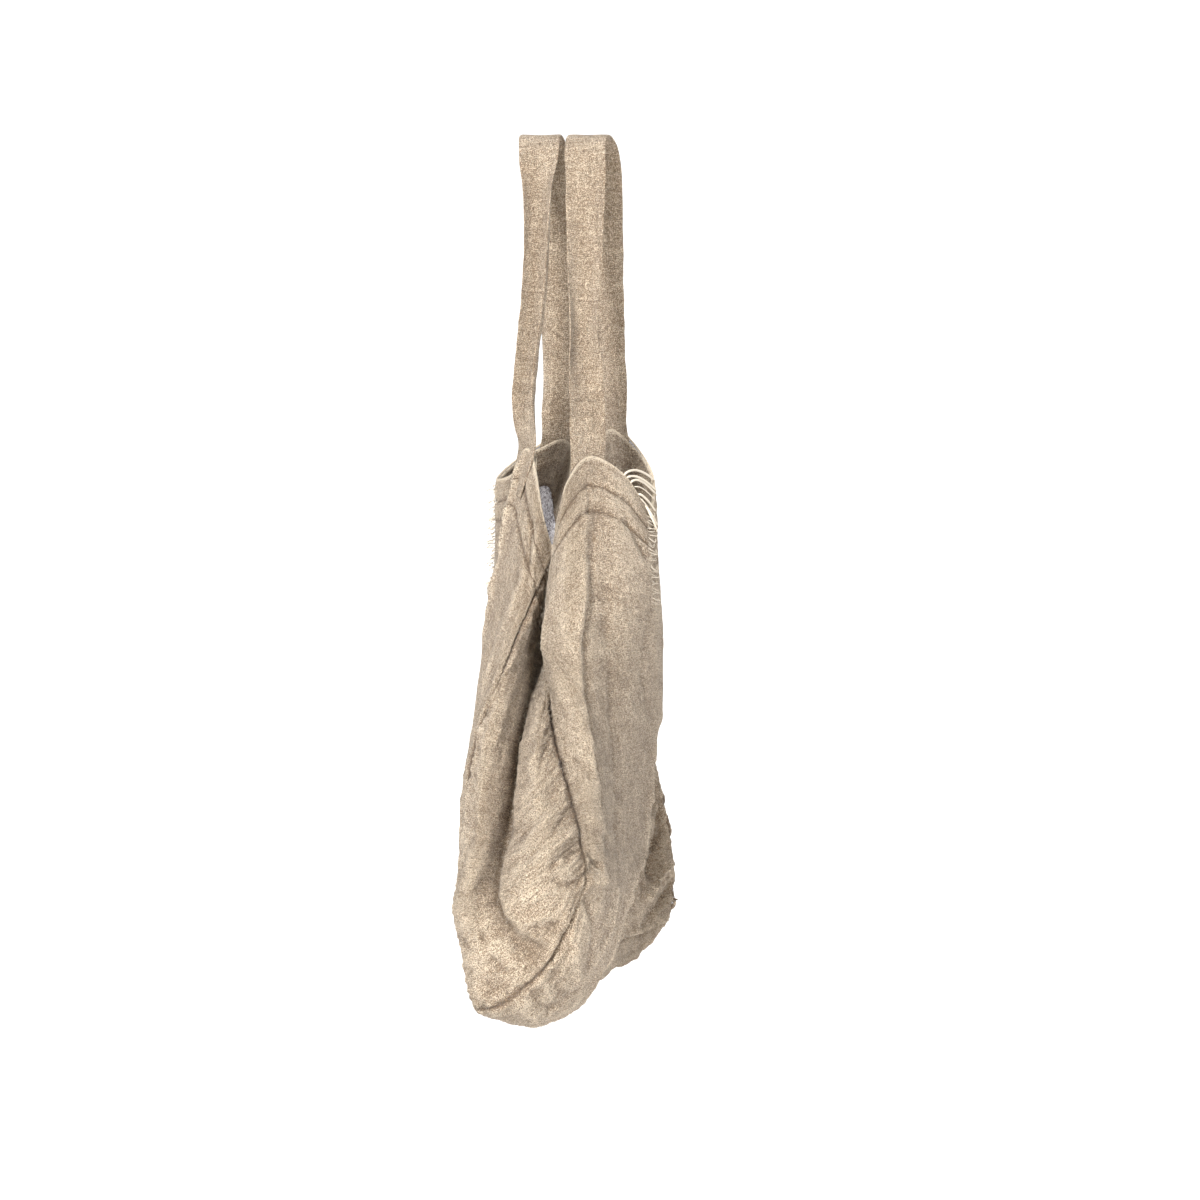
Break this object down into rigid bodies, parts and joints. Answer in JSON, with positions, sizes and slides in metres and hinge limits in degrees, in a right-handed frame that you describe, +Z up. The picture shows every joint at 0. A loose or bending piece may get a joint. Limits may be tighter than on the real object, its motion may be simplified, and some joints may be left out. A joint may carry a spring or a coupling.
{
  "type": "linen shopping bag",
  "caption": "Soft linen shopping bag with a boxed base, a faced mouth, two flat carrying straps and a frayed band on each panel, hanging by its straps.",
  "frame": {"origin": "the line that both straps lie over, midway between the two straps and their two sides", "axes": "+X along the hanging line, from the left strap to the right strap; +Y across the panels, away from the near gusset; +Z up"},
  "size_m": [0.1755, 0.3469, 0.6965],
  "materials": {
    "linen": "coarse natural linen, plain weave, matt",
    "facing_linen": "the same linen in the shade of the mouth",
    "cream_thread": "bare cream linen threads, matt",
    "sewing_thread": "brown sewing thread, matt"
  },
  "bodies": {
    "bag": {"body_cloth": "linen", "near_gusset": "linen", "far_gusset": "linen", "near_gusset_facing": "facing_linen", "far_gusset_facing": "facing_linen", "left_facing": "facing_linen", "left_handle_near_end": "facing_linen", "left_handle_far_end": "facing_linen", "left_frayed_band": "cream_thread", "right_facing": "facing_linen", "right_handle_near_end": "facing_linen", "right_handle_far_end": "facing_linen", "right_frayed_band": "cream_thread", "upper_rim_stitching": "sewing_thread", "lower_rim_stitching": "sewing_thread"},
    "left_handle": {"left_handle": "linen"},
    "right_handle": {"right_handle": "linen"}
  },
  "joints": [
    {"name": "left_handle_fall", "type": "hinge", "parent": "bag", "child": "left_handle", "pos_m": [-0.0249, -0.0362, -0.245], "axis": [0.0338, -0.9954, -0.0897], "range_deg": [0, 100]},
    {"name": "right_handle_fall", "type": "hinge", "parent": "bag", "child": "right_handle", "pos_m": [0.0443, -0.0375, -0.2472], "axis": [0.0545, 0.9843, 0.1676], "range_deg": [0, 100]}
  ]
}
